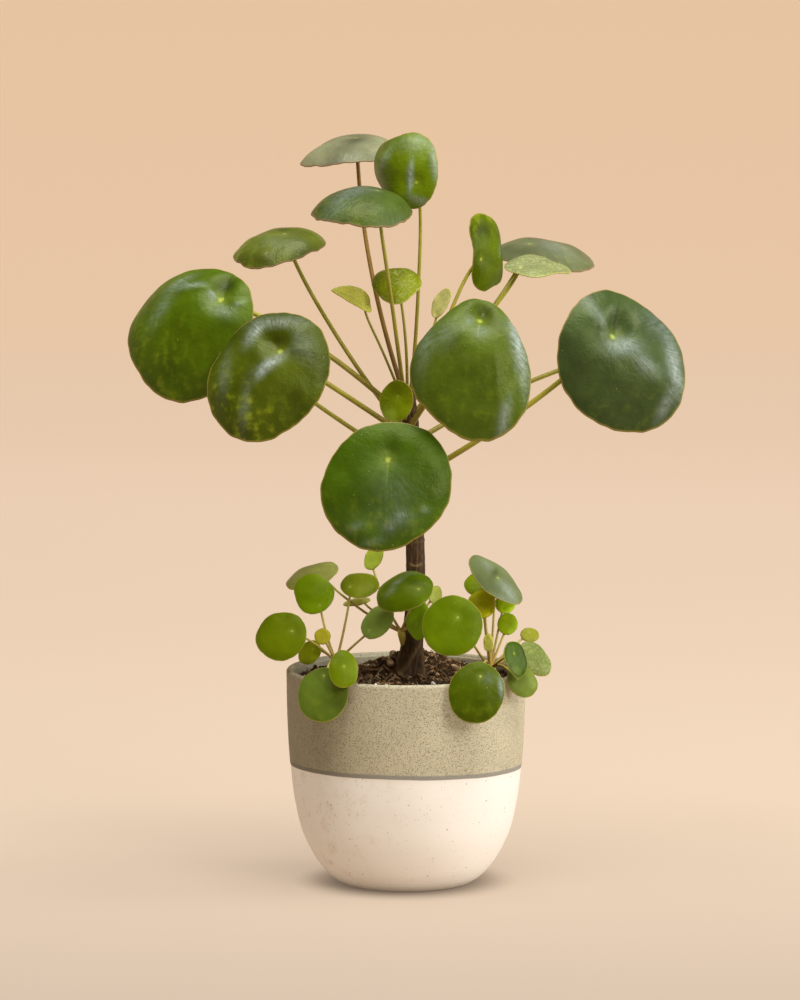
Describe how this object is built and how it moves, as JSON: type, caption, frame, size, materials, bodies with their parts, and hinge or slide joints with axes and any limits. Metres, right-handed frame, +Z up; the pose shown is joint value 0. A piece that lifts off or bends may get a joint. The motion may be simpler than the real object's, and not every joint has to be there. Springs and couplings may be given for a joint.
{
  "type": "potted plant",
  "caption": "Pilea with round leaves on long stalks and a bare trunk, in a rounded two-tone clay pot with young plants at its rim",
  "frame": {"origin": "centre of the pot's foot on the ground", "axes": "+Z up along the pot's axis, -Y towards the front of the plant as pictured, +X to the right of that view"},
  "size_m": [0.3466, 0.1757, 0.4698],
  "materials": {
    "pot_clay": "matte stoneware, speckled grey-tan above, cream below",
    "potting_mix": "dark loose bark and fibre",
    "trunk_bark": "rough brown bark with leaf scars",
    "leaf_green": "smooth satin leaf",
    "leaf_grey_green": "satin leaf with a grey sheen",
    "leaf_pale": "satin young leaf",
    "leaf_stalk": "satin olive-brown stalk",
    "young_leaf": "satin leaf on an olive stalk"
  },
  "bodies": {
    "root": {"pot": "pot_clay", "potting_mix": "potting_mix", "trunk": "trunk_bark", "leaf_01_blade": "leaf_grey_green", "leaf_01_stalk": "leaf_stalk", "leaf_02_blade": "leaf_green", "leaf_02_stalk": "leaf_stalk", "leaf_03_blade": "leaf_grey_green", "leaf_03_stalk": "leaf_stalk", "leaf_04_blade": "leaf_grey_green", "leaf_04_stalk": "leaf_stalk", "leaf_05_blade": "leaf_green", "leaf_05_stalk": "leaf_stalk", "leaf_06_blade": "leaf_green", "leaf_06_stalk": "leaf_stalk", "leaf_07_blade": "leaf_green", "leaf_07_stalk": "leaf_stalk", "leaf_08_blade": "leaf_green", "leaf_08_stalk": "leaf_stalk", "leaf_09_blade": "leaf_green", "leaf_09_stalk": "leaf_stalk", "leaf_10_blade": "leaf_green", "leaf_10_stalk": "leaf_stalk", "leaf_11_blade": "leaf_green", "leaf_11_stalk": "leaf_stalk", "leaf_12_blade": "leaf_grey_green", "leaf_12_stalk": "leaf_stalk", "leaf_13_blade": "leaf_pale", "leaf_13_stalk": "leaf_stalk", "leaf_14_blade": "leaf_pale", "leaf_14_stalk": "leaf_stalk", "leaf_15_blade": "leaf_pale", "leaf_15_stalk": "leaf_stalk", "leaf_16_blade": "leaf_pale", "leaf_16_stalk": "leaf_stalk", "leaf_17_blade": "leaf_green", "leaf_17_stalk": "leaf_stalk", "leaf_18_blade": "leaf_green", "leaf_18_stalk": "leaf_stalk", "young_plant_left": "young_leaf", "shoot_at_foot": "young_leaf", "young_plant_right": "young_leaf"}
  },
  "joints": []
}
